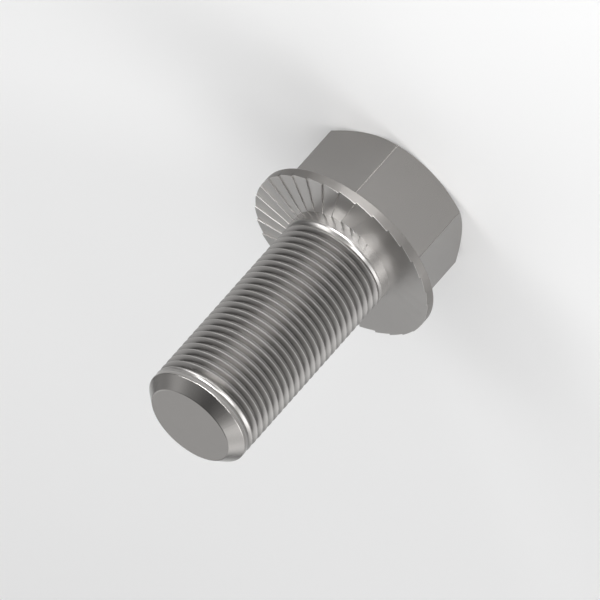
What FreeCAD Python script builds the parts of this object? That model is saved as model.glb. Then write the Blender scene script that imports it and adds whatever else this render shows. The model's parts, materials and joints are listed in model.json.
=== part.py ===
import FreeCAD, Part
import math
import os

# A flange bolt in one piece: hexagon head, round flange with a ratchet-toothed
# bearing face, and a shank for a fine thread. All lengths are in millimetres.
# It stands on its head: z = 0 is the head's top face and +Z points to the tip.

# Head
width_across_flats = 27.0
head_height = 16.5           # from the top face to the crests of the bearing teeth
head_chamfer_angle = 30.0    # degrees, measured from the top face
head_chamfer_inset = 0.1     # how far the chamfer's circle lies inside the flats

# Flange
flange_diameter = 36.0
rim_height = 2.0
flange_slope = 20.0          # degrees, measured from the bearing face
rim_edge_radius = 0.2

# Ratchet teeth on the bearing face
tooth_count = 32
tooth_depth = 0.32           # height of the steep face at the rim
tooth_offset = 3.6           # how far each tooth's edge passes from the axis
first_tooth_angle = 0.6      # degrees from +X, at the rim

# Shank
thread_diameter = 20.0
shank_length = 43.0          # from the crests of the bearing teeth to the tip
tip_chamfer = 2.0            # at 45 degrees
neck_radius = 0.5            # the hollow between the shank and the teeth

# Overlaps, so that the bodies that are fused share material and not only faces
fillet_sink = 0.08           # how far the neck's hollow starts below the tooth valleys
body_overlap = 1.0
cutter_reach = 1.2           # tooth cutters end this many rim radii from the axis

flange_radius = flange_diameter / 2
shank_radius = thread_diameter / 2
flat_radius = width_across_flats / 2
corner_radius = flat_radius / math.cos(math.pi / 6)
tooth_pitch = 2 * math.pi / tooth_count
rim_base_z = head_height - rim_height
tip_z = head_height + shank_length


def point(radius, z):
    """A point of a profile that is turned about the axis."""
    return FreeCAD.Vector(radius, 0, z)


def turned(edges):
    """The solid that a closed profile sweeps when it is turned about the axis."""
    face = Part.Face(Part.Wire(edges))
    return face.revolve(FreeCAD.Vector(0, 0, 0), FreeCAD.Vector(0, 0, 1), 360)


def chain(points):
    """Straight edges through the points, left open at the end."""
    return [Part.makeLine(a, b) for a, b in zip(points, points[1:])]


def arc_about(centre_radius, centre_z, radius, start_degrees, end_degrees):
    """A profile arc, given by its centre, its radius and three of its points."""
    ends = []
    for degrees in (start_degrees, (start_degrees + end_degrees) / 2, end_degrees):
        angle = math.radians(degrees)
        r = centre_radius + radius * math.cos(angle)
        z = centre_z + radius * math.sin(angle)
        ends.append(point(r, z))
    return Part.Arc(*ends).toShape()


def hexagon_head():
    """The hexagon, up into the flange, with its top corners chamfered."""
    corners = []
    for k in range(7):
        angle = k * math.pi / 3
        corners.append(FreeCAD.Vector(corner_radius * math.cos(angle), corner_radius * math.sin(angle), 0))
    prism_height = rim_base_z + rim_height / 2
    prism = Part.Face(Part.makePolygon(corners)).extrude(FreeCAD.Vector(0, 0, prism_height))
    circle_radius = flat_radius - head_chamfer_inset
    outer_radius = corner_radius + body_overlap
    chamfer_height = (outer_radius - circle_radius) * math.tan(math.radians(head_chamfer_angle))
    envelope = turned(chain([
        point(0, 0),
        point(circle_radius, 0),
        point(outer_radius, chamfer_height),
        point(outer_radius, prism_height),
        point(0, prism_height),
        point(0, 0),
    ]))
    return prism.common(envelope)


def flange_blank():
    """The flange before its teeth: a cone from the hexagon to an upright rim."""
    slope = math.radians(flange_slope)
    inner_radius = flat_radius / 2
    inner_z = rim_base_z - (flange_radius - inner_radius) * math.tan(slope)
    # the edge between cone and rim is rounded with an arc that touches both
    setback = rim_edge_radius * math.tan((math.pi / 2 - slope) / 2)
    arc_radius_at = flange_radius - rim_edge_radius
    arc_z_at = rim_base_z + setback
    cone_end = point(arc_radius_at + rim_edge_radius * math.sin(slope), arc_z_at - rim_edge_radius * math.cos(slope))
    blank_top = head_height + tooth_depth
    edges = chain([point(0, inner_z), point(inner_radius, inner_z), cone_end])
    edges.append(arc_about(arc_radius_at, arc_z_at, rim_edge_radius, flange_slope - 90, 0))
    edges += chain([
        point(flange_radius, arc_z_at),
        point(flange_radius, blank_top),
        point(0, blank_top),
        point(0, inner_z),
    ])
    return turned(edges)


def edge_length_to(radius):
    """Length of a tooth's edge from its foot, nearest the axis, out to a radius."""
    return math.sqrt(radius ** 2 - tooth_offset ** 2)


def valley_depth(radius):
    """Depth of a tooth's valley below the crests. It grows evenly along the edge."""
    start = tooth_offset * math.tan(tooth_pitch / 2)
    return tooth_depth * (edge_length_to(radius) - start) / (edge_length_to(flange_radius) - start)


def on_tooth_edge(heading, length, z):
    """A point on a tooth's edge, by its length from the foot."""
    x = length * math.cos(heading) - tooth_offset * math.sin(heading)
    y = length * math.sin(heading) + tooth_offset * math.cos(heading)
    return FreeCAD.Vector(x, y, z)


def tooth_cutter(number):
    """What is cut between two crests: a ramp down to the foot of a steep face."""
    first_heading = math.radians(first_tooth_angle) - math.asin(tooth_offset / flange_radius)
    heading = first_heading + number * tooth_pitch
    far_radius = flange_radius * cutter_reach
    far_length = edge_length_to(far_radius)
    apex = on_tooth_edge(heading, -tooth_offset * math.tan(tooth_pitch / 2), head_height)
    crest_end = on_tooth_edge(heading, far_length, head_height)
    valley_z = head_height - valley_depth(far_radius)
    valley_end = on_tooth_edge(heading + tooth_pitch, far_length, valley_z)
    ramp = Part.Face(Part.makePolygon([apex, crest_end, valley_end, apex]))
    return ramp.extrude(FreeCAD.Vector(0, 0, 3 * tooth_depth))


def toothed_flange():
    """The flange with its ring of ratchet teeth."""
    cutters = [tooth_cutter(number) for number in range(tooth_count)]
    return flange_blank().cut(cutters)


def shank():
    """The shank, with the hollow at its neck and the chamfer at its tip."""
    foot_radius = shank_radius + neck_radius
    foot_z = head_height - valley_depth(foot_radius) - fillet_sink
    buried_z = foot_z - body_overlap
    edges = chain([point(0, buried_z), point(foot_radius, buried_z), point(foot_radius, foot_z)])
    edges.append(arc_about(foot_radius, foot_z + neck_radius, neck_radius, 270, 180))
    edges += chain([
        point(shank_radius, foot_z + neck_radius),
        point(shank_radius, tip_z - tip_chamfer),
        point(shank_radius - tip_chamfer, tip_z),
        point(0, tip_z),
        point(0, buried_z),
    ])
    return turned(edges)


def flange_bolt():
    """The whole bolt as one solid."""
    joined = hexagon_head().fuse([toothed_flange(), shank()])
    return joined.removeSplitter()


os.makedirs("parts", exist_ok=True)
flange_bolt().exportStep("parts/flange_bolt.step")
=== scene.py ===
import bmesh
import bpy
import json
import math
from mathutils import Matrix, Vector


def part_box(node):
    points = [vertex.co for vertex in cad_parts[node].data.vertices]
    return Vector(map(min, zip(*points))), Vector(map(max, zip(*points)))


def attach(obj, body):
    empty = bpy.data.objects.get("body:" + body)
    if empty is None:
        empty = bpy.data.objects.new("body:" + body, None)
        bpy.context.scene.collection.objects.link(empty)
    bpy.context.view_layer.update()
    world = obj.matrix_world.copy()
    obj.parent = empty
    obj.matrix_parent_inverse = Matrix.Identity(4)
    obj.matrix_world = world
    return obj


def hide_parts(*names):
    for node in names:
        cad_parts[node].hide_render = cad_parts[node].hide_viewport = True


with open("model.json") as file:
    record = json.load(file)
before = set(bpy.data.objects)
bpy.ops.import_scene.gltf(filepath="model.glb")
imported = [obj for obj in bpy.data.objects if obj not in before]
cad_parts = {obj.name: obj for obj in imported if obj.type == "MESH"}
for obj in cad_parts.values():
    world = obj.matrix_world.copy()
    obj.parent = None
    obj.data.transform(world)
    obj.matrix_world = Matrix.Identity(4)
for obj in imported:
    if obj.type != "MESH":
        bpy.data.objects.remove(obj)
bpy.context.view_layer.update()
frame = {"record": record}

# Hexagon head.
# It is forged with the rest of the bolt, and its top corners are turned off at 30 degrees.
# The bolt stands on its plain top face. The meshes are made in millimetres and set in metres at the end.
mm_per_metre = 1000.0
mounts = {mount["name"]: mount for mount in frame["record"]["mounts"]}
crest_z = mounts["toothed_seat"]["pos_m"][2] * mm_per_metre
flat_radius = -mounts["key_flat"]["pos_m"][1] * mm_per_metre
shank_radius = mounts["threaded_shank"]["dims"]["r_mm"]
flange_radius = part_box("flange_bolt")[1].x * mm_per_metre
tip_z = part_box("flange_bolt")[1].z * mm_per_metre
round_steps = 192
merge_distance = 0.0005
place_tolerance = 0.01
corner_radius = flat_radius / math.cos(math.pi / 6)
head_chamfer_angle = math.radians(30)
head_chamfer_inset = 0.1
head_edge_break = 0.12
head_sharp_angle = math.radians(25)
rim_height = 2.0
rim_base_z = crest_z - rim_height
hexagon_height = rim_base_z + rim_height / 2


def deselect_all():
    """Leaves nothing selected. The loaded nodes start selected."""
    bpy.ops.object.select_all(action="DESELECT")


def work_on(piece):
    """Makes the piece the only selected and active object."""
    deselect_all()
    piece.select_set(True)
    bpy.context.view_layer.objects.active = piece


def added(name):
    """Names the primitive that was just added and sets its place and turn into its mesh."""
    piece = bpy.context.object
    piece.name = name
    bpy.ops.object.transform_apply(location=True, rotation=True, scale=True)
    return piece


def pick(kind, chosen):
    """In edit mode, selects the vertices, edges or faces that pass a test."""
    bpy.ops.mesh.select_mode(type=kind)
    bpy.ops.mesh.select_all(action="DESELECT")
    mesh = bmesh.from_edit_mesh(bpy.context.object.data)
    members = {"VERT": mesh.verts, "EDGE": mesh.edges, "FACE": mesh.faces}[kind]
    for member in members:
        if chosen(member):
            member.select_set(True)
    mesh.select_flush_mode()
    bmesh.update_edit_mesh(bpy.context.object.data)


def ends_at(edge, z):
    """Whether both ends of an edge lie at a height."""
    return all(abs(vertex.co.z - z) < place_tolerance for vertex in edge.verts)


def close_up():
    """Merges what lies together and turns all faces outwards."""
    bpy.ops.mesh.select_all(action="SELECT")
    bpy.ops.mesh.remove_doubles(threshold=merge_distance)
    bpy.ops.mesh.normals_make_consistent(inside=False)


def apply_modifier(piece, kind, **settings):
    """Adds a modifier with these settings and applies it."""
    work_on(piece)
    modifier = piece.modifiers.new(kind.title(), kind)
    for setting, value in settings.items():
        setattr(modifier, setting, value)
    bpy.ops.object.modifier_apply(modifier=modifier.name)


def combine(piece, other, operation):
    """Joins another closed shape to the piece, or keeps what lies in both, and removes the other."""
    apply_modifier(piece, "BOOLEAN", object=other, operation=operation, solver="EXACT")
    bpy.data.objects.remove(other)


deselect_all()
bpy.ops.mesh.primitive_cylinder_add(vertices=6, radius=corner_radius, depth=hexagon_height,
                                    location=(0, 0, hexagon_height / 2), rotation=(0, 0, math.pi / 2))
head = added("head")
bpy.ops.object.mode_set(mode="EDIT")
pick("EDGE", lambda e: abs(e.verts[0].co.z - e.verts[1].co.z) > merge_distance)
bpy.ops.mesh.bevel(offset=head_edge_break, segments=3, affect="EDGES")
bpy.ops.object.mode_set(mode="OBJECT")
deselect_all()
chamfer_foot_radius = flat_radius - head_chamfer_inset
chamfer_reach = hexagon_height / math.tan(head_chamfer_angle)
bpy.ops.mesh.primitive_cone_add(vertices=round_steps, radius1=chamfer_foot_radius,
                                radius2=chamfer_foot_radius + chamfer_reach,
                                depth=hexagon_height, location=(0, 0, hexagon_height / 2))
chamfer_cone = added("chamfer_cone")
combine(head, chamfer_cone, "INTERSECT")
apply_modifier(head, "BEVEL", width=head_edge_break / 2, segments=2, limit_method="ANGLE",
               angle_limit=head_sharp_angle)

# Flange with its ring of ratchet teeth.
# The flange is forged and its rim turned. The teeth are coined into the bearing face: plane ramps with
# upright steep faces along lines that miss the axis, deepest at the rim, with all crests in one plane.
tooth_count = 32
tooth_depth = 0.32
tooth_offset = 3.6
first_tooth_angle = math.radians(0.6)
tooth_pitch = 2 * math.pi / tooth_count
rim_arc_steps = 8
teeth_inner_radius = 0.9 * shank_radius
flange_slope = math.radians(20)
flange_inner_radius = flat_radius / 2
rim_edge_radius = 0.2
tooth_edge_break = 0.08
tooth_sharp_angle = math.radians(60)
teeth_zone_depth = 1.1 * tooth_depth
teeth_zone_radius = 1.1 * teeth_inner_radius


def edge_length_to(radius):
    """Length of a tooth's edge from its foot, nearest the axis, out to a radius."""
    return math.sqrt(radius ** 2 - tooth_offset ** 2)


def valley_depth(radius):
    """Depth of a tooth's valley below the crests. It grows evenly along the edge."""
    start = tooth_offset * math.tan(tooth_pitch / 2)
    return tooth_depth * (edge_length_to(radius) - start) / (edge_length_to(flange_radius) - start)


def on_tooth_edge(number, radius, depth):
    """A point on the edge of a tooth, at a radius and at a depth below the crests."""
    heading = first_tooth_angle - math.asin(tooth_offset / flange_radius) + number * tooth_pitch
    angle = heading + math.asin(tooth_offset / radius)
    return Vector((radius * math.cos(angle), radius * math.sin(angle), crest_z - depth))


def ramp_outline():
    """Corners of one ramp: out along its crest, round the rim, and in along its valley."""
    crest_in = on_tooth_edge(0, teeth_inner_radius, 0)
    crest_out = on_tooth_edge(0, flange_radius, 0)
    valley_out = on_tooth_edge(1, flange_radius, valley_depth(flange_radius))
    valley_in = on_tooth_edge(1, teeth_inner_radius, valley_depth(teeth_inner_radius))
    normal = (crest_out - crest_in).cross(valley_out - crest_in)
    rim_points = []
    for step in range(1, rim_arc_steps):
        angle = first_tooth_angle + tooth_pitch * step / rim_arc_steps
        across = Vector((flange_radius * math.cos(angle), flange_radius * math.sin(angle), crest_z))
        across.z -= normal.dot(across - crest_in) / normal.z
        rim_points.append(across)
    return [crest_in, crest_out, *rim_points, valley_out, valley_in]


def draw_line(name, points):
    """Draws a line in edit mode: one vertex that is extruded from point to point."""
    deselect_all()
    bpy.ops.mesh.primitive_plane_add(size=1, location=points[0])
    line = added(name)
    bpy.ops.object.mode_set(mode="EDIT")
    bpy.ops.mesh.select_mode(type="VERT")
    bpy.ops.mesh.select_all(action="SELECT")
    bpy.ops.mesh.merge(type="CENTER")
    for here, there in zip(points, points[1:]):
        bpy.ops.mesh.extrude_region_move(TRANSFORM_OT_translate={"value": there - here})
    return line


def extrude_to(level, radius_ratio=1.0):
    """Extrudes what is picked to one level, and wider or narrower by a ratio."""
    bpy.ops.mesh.extrude_region_move()
    bpy.ops.transform.resize(value=(radius_ratio, radius_ratio, 0), center_override=(0, 0, level))


outline = ramp_outline()
flange = draw_line("flange", outline)
bpy.ops.mesh.select_all(action="SELECT")
bpy.ops.mesh.edge_face_add()
inner_valley_z = crest_z - valley_depth(teeth_inner_radius)
corner_out = outline[-2].copy()
corner_in = outline[-1].copy()


def joins(edge, a, b):
    """Whether an edge runs between two places."""
    ends = [vertex.co for vertex in edge.verts]
    straight = (ends[0] - a).length + (ends[1] - b).length
    turned = (ends[0] - b).length + (ends[1] - a).length
    return min(straight, turned) < place_tolerance


pick("EDGE", lambda e: joins(e, corner_out, corner_in))
extrude_to(crest_z)
pick("EDGE", lambda e: joins(e, outline[0], corner_in))
extrude_to(inner_valley_z)
pick("EDGE", lambda e: any(joins(e, a, b) for a, b in zip(outline[1:], outline[2:-1])))
extrude_to(rim_base_z)
close_up()
bpy.ops.mesh.spin(steps=tooth_count - 1, dupli=True, angle=2 * math.pi - tooth_pitch,
                  center=(0, 0, 0), axis=(0, 0, 1))
close_up()
pick("EDGE", lambda e: e.is_boundary and ends_at(e, rim_base_z))
cone_foot_z = rim_base_z - (flange_radius - flange_inner_radius) * math.tan(flange_slope)
extrude_to(cone_foot_z, flange_inner_radius / flange_radius)
bpy.ops.mesh.edge_face_add()
pick("EDGE", lambda e: e.is_boundary)
bpy.ops.mesh.edge_face_add()
close_up()
pick("EDGE", lambda e: ends_at(e, rim_base_z))
bpy.ops.mesh.bevel(offset=rim_edge_radius / 2, segments=4, affect="EDGES")


def is_sharp_on_tooth(edge):
    """Whether an edge is a crest of a tooth or lies where a tooth ends at the rim."""
    levels = [vertex.co.z for vertex in edge.verts]
    reach = max(math.hypot(vertex.co.x, vertex.co.y) for vertex in edge.verts)
    is_sharp = edge.is_convex and edge.calc_face_angle() > tooth_sharp_angle
    return is_sharp and min(levels) > crest_z - teeth_zone_depth and reach > teeth_zone_radius


pick("EDGE", is_sharp_on_tooth)
bpy.ops.mesh.bevel(offset=tooth_edge_break, segments=2, affect="EDGES")
bpy.ops.object.mode_set(mode="OBJECT")

# Threaded shank.
# It is turned with a 45 degree chamfer at its tip, and its right-hand fine thread is rolled: narrow
# crests, flat roots, and grooves that run out towards the plain neck and before the tip.
thread_pitch = 1.5
crest_half_width = thread_pitch / 16
crest_round = 0.05
root_half_width = thread_pitch / 8
root_round = 0.03
thread_depth = 0.5413 * thread_pitch
flank_slope = math.tan(math.radians(30))
flank_turn = 60
profile_arc_steps = 3
thread_steps = 120
neck_plain_z = crest_z + 1.9
neck_full_z = crest_z + 3.4
tip_full_z = crest_z + 38.4
tip_plain_z = crest_z + 40.5
plain_margin = 0.1
tip_chamfer = 2.0
tip_edge_break = 0.12
neck_radius = 0.1
neck_arc_steps = 5
fillet_sink = 0.08
shank_sink = 1.0
first_crest_z = crest_z - 0.99


def arc_points(centre_r, centre_z, radius, start, end, steps):
    """Points of a profile arc, with its angles in degrees from the outward direction."""
    points = []
    for step in range(steps + 1):
        angle = math.radians(start + (end - start) * step / steps)
        points.append(Vector((centre_r + radius * math.cos(angle), 0, centre_z + radius * math.sin(angle))))
    return points


def groove_profile():
    """One pitch of the thread, from the middle of a crest to the middle of the next."""
    crest_turn_r = shank_radius - crest_round
    crest_turn_z = crest_half_width - crest_round * flank_slope
    root_turn_r = shank_radius - thread_depth + root_round
    root_turn_z = thread_pitch / 2 - root_half_width + root_round * flank_slope
    next_root_z = thread_pitch - root_turn_z
    next_crest_z = thread_pitch - crest_turn_z
    steps = profile_arc_steps
    points = [Vector((shank_radius, 0, 0))]
    points += arc_points(crest_turn_r, crest_turn_z, crest_round, 0, flank_turn, steps)
    points += arc_points(root_turn_r, root_turn_z, root_round, 180 + flank_turn, 180, steps)
    points += arc_points(root_turn_r, next_root_z, root_round, 180, 180 - flank_turn, steps)
    points += arc_points(crest_turn_r, next_crest_z, crest_round, -flank_turn, 0, steps)
    points.append(Vector((shank_radius, 0, thread_pitch)))
    return points


lift = Vector((0, 0, first_crest_z))
shank = draw_line("shank", [place + lift for place in groove_profile()])
bpy.ops.object.mode_set(mode="OBJECT")
turns = int((tip_plain_z - first_crest_z) / thread_pitch) + 1
apply_modifier(shank, "SCREW", axis="Z", angle=2 * math.pi, screw_offset=thread_pitch, iterations=turns,
               steps=thread_steps, render_steps=thread_steps, use_merge_vertices=True,
               merge_threshold=merge_distance)


def groove_share(z):
    """How much of its depth a groove has at a height: all of it, less at the neck and at the tip."""
    at_neck = (z - neck_plain_z) / (neck_full_z - neck_plain_z)
    at_tip = (tip_plain_z - z) / (tip_plain_z - tip_full_z)
    return max(0.0, min(1.0, at_neck, at_tip))


for vertex in shank.data.vertices:
    radius = math.hypot(vertex.co.x, vertex.co.y)
    wanted = shank_radius - (shank_radius - radius) * groove_share(vertex.co.z)
    vertex.co.x *= wanted / radius
    vertex.co.y *= wanted / radius

work_on(shank)
bpy.ops.object.mode_set(mode="EDIT")
close_up()
neck_cut_z = neck_plain_z - plain_margin
tip_cut_z = tip_plain_z + plain_margin
bpy.ops.mesh.select_all(action="SELECT")
bpy.ops.mesh.bisect(plane_co=(0, 0, neck_cut_z), plane_no=(0, 0, 1), clear_inner=True)
bpy.ops.mesh.select_all(action="SELECT")
bpy.ops.mesh.bisect(plane_co=(0, 0, tip_cut_z), plane_no=(0, 0, 1), clear_outer=True)
close_up()
pick("EDGE", lambda e: e.is_boundary and ends_at(e, neck_cut_z))
foot_radius = shank_radius + neck_radius
foot_z = crest_z - valley_depth(foot_radius) - fillet_sink
previous_radius = shank_radius
for place in arc_points(foot_radius, foot_z + neck_radius, neck_radius, 180, 270, neck_arc_steps):
    extrude_to(place.z, place.x / previous_radius)
    previous_radius = place.x
extrude_to(foot_z - shank_sink)
bpy.ops.mesh.edge_face_add()
pick("EDGE", lambda e: e.is_boundary and ends_at(e, tip_cut_z))
extrude_to(tip_z - tip_chamfer)
extrude_to(tip_z, (shank_radius - tip_chamfer) / shank_radius)
bpy.ops.mesh.edge_face_add()
close_up()
pick("EDGE", lambda e: ends_at(e, tip_z - tip_chamfer) or ends_at(e, tip_z))
bpy.ops.mesh.bevel(offset=tip_edge_break, segments=3, affect="EDGES")
bpy.ops.object.mode_set(mode="OBJECT")

# The bolt in one piece.
# Head, flange and shank are one forging of bare, slightly warm grey steel. The rim and the corners of
# the hexagon have fine marks round the bolt and a darker grey that is painted shade, the toothed seat
# is a little rougher and has a lighter grey that is painted light, the neck's lightest grey is a painted
# highlight, and the thread's roots are darkened with painted shade.
sharp_angle = math.radians(32)
warmth = 0.01
tone_spread = 0.03
tone_noise_scale = 90.0
gloss_noise_scale = 700.0
# Painted shade: the darker grey that the thread's roots get, where shade falls in the grooves.
painted_root_shade = (0.165, 0.16, 0.155, 1.0)
rim_margin = 0.1
corner_margin = 0.25
shank_margin = 0.01
upright_limit = 0.1

bolt = head
bolt.name = "hexagon_flange_bolt"
bolt.data.name = "hexagon_flange_bolt"
combine(bolt, flange, "UNION")
combine(bolt, shank, "UNION")
work_on(bolt)
to_metres = 1 / mm_per_metre
bpy.ops.transform.resize(value=(to_metres, to_metres, to_metres), center_override=(0, 0, 0))
bpy.ops.object.transform_apply(location=True, rotation=True, scale=True)
bpy.ops.object.shade_smooth_by_angle(angle=sharp_angle)
apply_modifier(bolt, "WEIGHTED_NORMAL", keep_sharp=True, weight=50)


def new_material(name):
    """A material with nodes. Its shader carries its colour and its gloss."""
    material = bpy.data.materials.new(name)
    material.use_nodes = True
    return material


def shader_of(material):
    """The shader node of a material."""
    return material.node_tree.nodes["Principled BSDF"]


def warm_grey(grey, share):
    """A slightly warm grey, made lighter or darker by a share."""
    return (share * (grey + warmth), share * grey, share * (grey - warmth), 1.0)


def steel_finish(name, grey, smoothest, roughest):
    """Bare steel whose tone and gloss vary a little from place to place."""
    material = new_material(name)
    tree = material.node_tree
    shader = shader_of(material)
    shader.inputs["Metallic"].default_value = 1.0
    places = tree.nodes.new("ShaderNodeTexCoord")
    tone_noise = tree.nodes.new("ShaderNodeTexNoise")
    tone_noise.inputs["Scale"].default_value = tone_noise_scale
    tone_noise.inputs["Detail"].default_value = 4.0
    tree.links.new(places.outputs["Object"], tone_noise.inputs["Vector"])
    tone = tree.nodes.new("ShaderNodeMix")
    tone.name = "tone"
    tone.data_type = "RGBA"
    tone.inputs["A"].default_value = warm_grey(grey, 1 - tone_spread)
    tone.inputs["B"].default_value = warm_grey(grey, 1 + tone_spread)
    tree.links.new(tone_noise.outputs["Fac"], tone.inputs["Factor"])
    tree.links.new(tone.outputs["Result"], shader.inputs["Base Color"])
    gloss_noise = tree.nodes.new("ShaderNodeTexNoise")
    gloss_noise.inputs["Scale"].default_value = gloss_noise_scale
    gloss_noise.inputs["Detail"].default_value = 3.0
    tree.links.new(places.outputs["Object"], gloss_noise.inputs["Vector"])
    gloss = tree.nodes.new("ShaderNodeMapRange")
    gloss.inputs["To Min"].default_value = smoothest
    gloss.inputs["To Max"].default_value = roughest
    tree.links.new(gloss_noise.outputs["Fac"], gloss.inputs["Value"])
    tree.links.new(gloss.outputs["Result"], shader.inputs["Roughness"])
    return material


steel = steel_finish("bare_steel", grey=0.285, smoothest=0.20, roughest=0.28)
# The seat's lighter grey is painted light that brightens the toothed bearing face; its higher roughness is
# real.
seat_steel_painted_light = steel_finish("seat_steel_painted_light", grey=0.41, smoothest=0.36, roughest=0.44)
# The neck's grey, the lightest of all, is a painted highlight on the neck.
neck_steel_painted_highlight = steel_finish("neck_steel_painted_highlight", grey=0.50, smoothest=0.22, roughest=0.28)

# The darker grey of the rim and the hexagon's corners is painted shade; the marks that stretch their gloss
# are real.
turned_steel_painted_shade = steel_finish("turned_steel_painted_shade", grey=0.24, smoothest=0.42, roughest=0.50)
tree = turned_steel_painted_shade.node_tree
shader = shader_of(turned_steel_painted_shade)
shader.inputs["Anisotropic"].default_value = 0.9
across_marks = tree.nodes.new("ShaderNodeCombineXYZ")
across_marks.inputs["Z"].default_value = 1.0
tree.links.new(across_marks.outputs["Vector"], shader.inputs["Tangent"])

# The rolled thread is darkened towards the roots of its grooves: painted shade in the recesses.
rolled_steel_shaded_roots = steel_finish("rolled_steel_shaded_roots", grey=0.34, smoothest=0.28, roughest=0.33)
tree = rolled_steel_shaded_roots.node_tree
shader = shader_of(rolled_steel_shaded_roots)
places = tree.nodes.new("ShaderNodeTexCoord")
flat_place = tree.nodes.new("ShaderNodeVectorMath")
flat_place.operation = "MULTIPLY"
flat_place.inputs[1].default_value = (1.0, 1.0, 0.0)
tree.links.new(places.outputs["Object"], flat_place.inputs[0])
from_axis = tree.nodes.new("ShaderNodeVectorMath")
from_axis.operation = "LENGTH"
tree.links.new(flat_place.outputs["Vector"], from_axis.inputs[0])
height = tree.nodes.new("ShaderNodeMapRange")
height.inputs["From Min"].default_value = (shank_radius - thread_depth) / mm_per_metre
height.inputs["From Max"].default_value = (shank_radius - crest_round) / mm_per_metre
tree.links.new(from_axis.outputs["Value"], height.inputs["Value"])
# Mixes in the painted root shade by the distance from the axis.
tone_with_root_shade = tree.nodes.new("ShaderNodeMix")
tone_with_root_shade.data_type = "RGBA"
tone_with_root_shade.inputs["A"].default_value = painted_root_shade
tree.links.new(height.outputs["Result"], tone_with_root_shade.inputs["Factor"])
tree.links.new(tree.nodes["tone"].outputs["Result"], tone_with_root_shade.inputs["B"])
tree.links.new(tone_with_root_shade.outputs["Result"], shader.inputs["Base Color"])


def finish_of(face):
    """The finish of a face, by where it lies on the bolt, with the painted shade, light and highlight that
    its grey carries.
    """
    radius = math.hypot(face.center.x, face.center.y) * mm_per_metre
    z = face.center.z * mm_per_metre
    is_rim = radius > flange_radius - rim_margin
    is_corner = z < rim_base_z and radius > corner_radius - corner_margin
    is_on_shank = radius < shank_radius + shank_margin
    # Rim and hexagon corners: turned marks and painted shade.
    if abs(face.normal.z) < upright_limit and (is_rim or is_corner):
        return turned_steel_painted_shade
    if is_on_shank and neck_plain_z < z < tip_plain_z:
        return rolled_steel_shaded_roots
    if is_on_shank and crest_z - tooth_depth < z < tip_plain_z:
        return neck_steel_painted_highlight
    if not is_on_shank and crest_z - teeth_zone_depth < z:
        return seat_steel_painted_light
    return steel


finishes = [steel, turned_steel_painted_shade, rolled_steel_shaded_roots, seat_steel_painted_light, neck_steel_painted_highlight]
bolt.data.materials.clear()
for finish in finishes:
    bolt.data.materials.append(finish)
for face in bolt.data.polygons:
    face.material_index = finishes.index(finish_of(face))
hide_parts("flange_bolt")
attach(bolt, "root")

# Floor, lamps and camera.
# A plain pale floor, soft studio lamps, and a camera at the photograph's angle. The photograph shows
# the bolt lying on white with its axis across the frame, so the camera is rolled.
floor_grey = (0.88, 0.88, 0.88, 1.0)
floor_roughness = 0.8
floor_radius = 4.0
deselect_all()
bpy.ops.mesh.primitive_circle_add(vertices=128, radius=floor_radius, fill_type="NGON", location=(0, 0, 0))
floor = added("floor")
floor_paint = new_material("floor_paint")
shader_of(floor_paint).inputs["Base Color"].default_value = floor_grey
shader_of(floor_paint).inputs["Roughness"].default_value = floor_roughness
floor.data.materials.append(floor_paint)

view_azimuth = math.radians(-79.41)
aim = Vector((0.162, 0.030, 27.89)) / mm_per_metre
eye = Vector((559.77, -2994.36, 1613.52)) / mm_per_metre
roll = math.radians(-138.40)
camera_data = bpy.data.cameras.new("camera")
camera = bpy.data.objects.new("camera", camera_data)
bpy.context.scene.collection.objects.link(camera)
camera_data.sensor_width = 36.0
camera_data.lens = 1220.5
look = (aim - eye).to_track_quat("-Z", "Y").to_matrix().to_4x4()
camera.matrix_world = Matrix.Translation(eye) @ look @ Matrix.Rotation(roll, 4, "Z")
bpy.context.scene.camera = camera
bpy.context.scene.view_settings.view_transform = "Standard"

world = bpy.data.worlds.new("studio")
world.use_nodes = True
bpy.context.scene.world = world
tree = world.node_tree
studio_light = tree.nodes["Background"]
studio_light.inputs["Color"].default_value = (1.0, 1.0, 1.0, 1.0)
directions = tree.nodes.new("ShaderNodeTexCoord")
even_light = 0.08
glow_narrowness = 16.0


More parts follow.
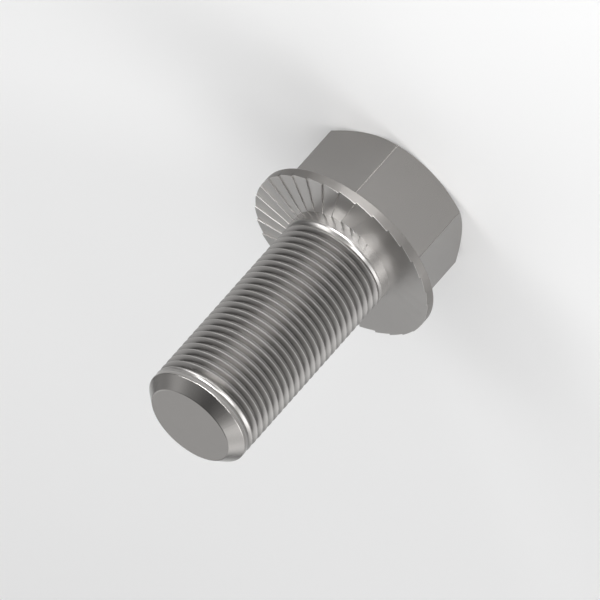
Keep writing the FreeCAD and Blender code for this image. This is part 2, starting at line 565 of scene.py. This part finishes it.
def arithmetic(operation, first, second):
    """A Math node of the world. Each input is a number or the output of another node."""
    node = tree.nodes.new("ShaderNodeMath")
    node.operation = operation
    for socket, value in zip(node.inputs, (first, second)):
        if isinstance(value, (int, float)):
            socket.default_value = value
        else:
            tree.links.new(value, socket)
    return node.outputs["Value"]


def direction_of(side_angle, elevation):
    """A direction in degrees: its side angle counts from the camera, anticlockwise seen from above."""
    turn = view_azimuth + math.radians(side_angle)
    rise = math.radians(elevation)
    return Vector((math.cos(turn) * math.cos(rise), math.sin(turn) * math.cos(rise), math.sin(rise)))


def glow(side_angle, elevation, strength):
    """A soft round light in the studio, far from the bolt."""
    facing = tree.nodes.new("ShaderNodeVectorMath")
    facing.operation = "DOT_PRODUCT"
    tree.links.new(directions.outputs["Generated"], facing.inputs[0])
    facing.inputs[1].default_value = direction_of(side_angle, elevation)
    toward = arithmetic("MAXIMUM", facing.outputs["Value"], 0.0)
    return arithmetic("MULTIPLY", arithmetic("POWER", toward, glow_narrowness), strength)


light = even_light
for side_angle, elevation, strength in (
    (-80, 23, 4.7),
    (166, 32, 1.1),
    (146, 28, 0.7),
    (222, 30, 1.6),
    (98, 38, 0.8),
    (50, 50, 0.3),
    (-48, 50, 0.3),
    (-120, 8, 1.0),
):
    light = arithmetic("ADD", light, glow(side_angle, elevation, strength))
tree.links.new(light, studio_light.inputs["Strength"])


def strip_lamp(name, side_angle, elevation, distance, width, height, brightness):
    """A softbox that faces the foot of the bolt. Its distance, width and height are in metres."""
    area = bpy.data.lights.new(name, "AREA")
    area.shape = "RECTANGLE"
    area.size = width
    area.size_y = height
    area.energy = math.pi * width * height * brightness
    lamp = bpy.data.objects.new(name, area)
    bpy.context.scene.collection.objects.link(lamp)
    away = direction_of(side_angle, elevation)
    lamp.location = away * distance
    lamp.rotation_euler = (-away).to_track_quat("-Z", "Y").to_euler()
    lamp.visible_camera = False


strip_lamp("left_lamp", side_angle=66, elevation=28, distance=0.8, width=0.42, height=0.16, brightness=9.0)
strip_lamp("right_lamp", side_angle=-21, elevation=28, distance=0.8, width=0.48, height=0.16, brightness=10.0)
strip_lamp("low_lamp", side_angle=22, elevation=7, distance=0.8, width=0.70, height=0.14, brightness=22.0)

bpy.context.view_layer.update()
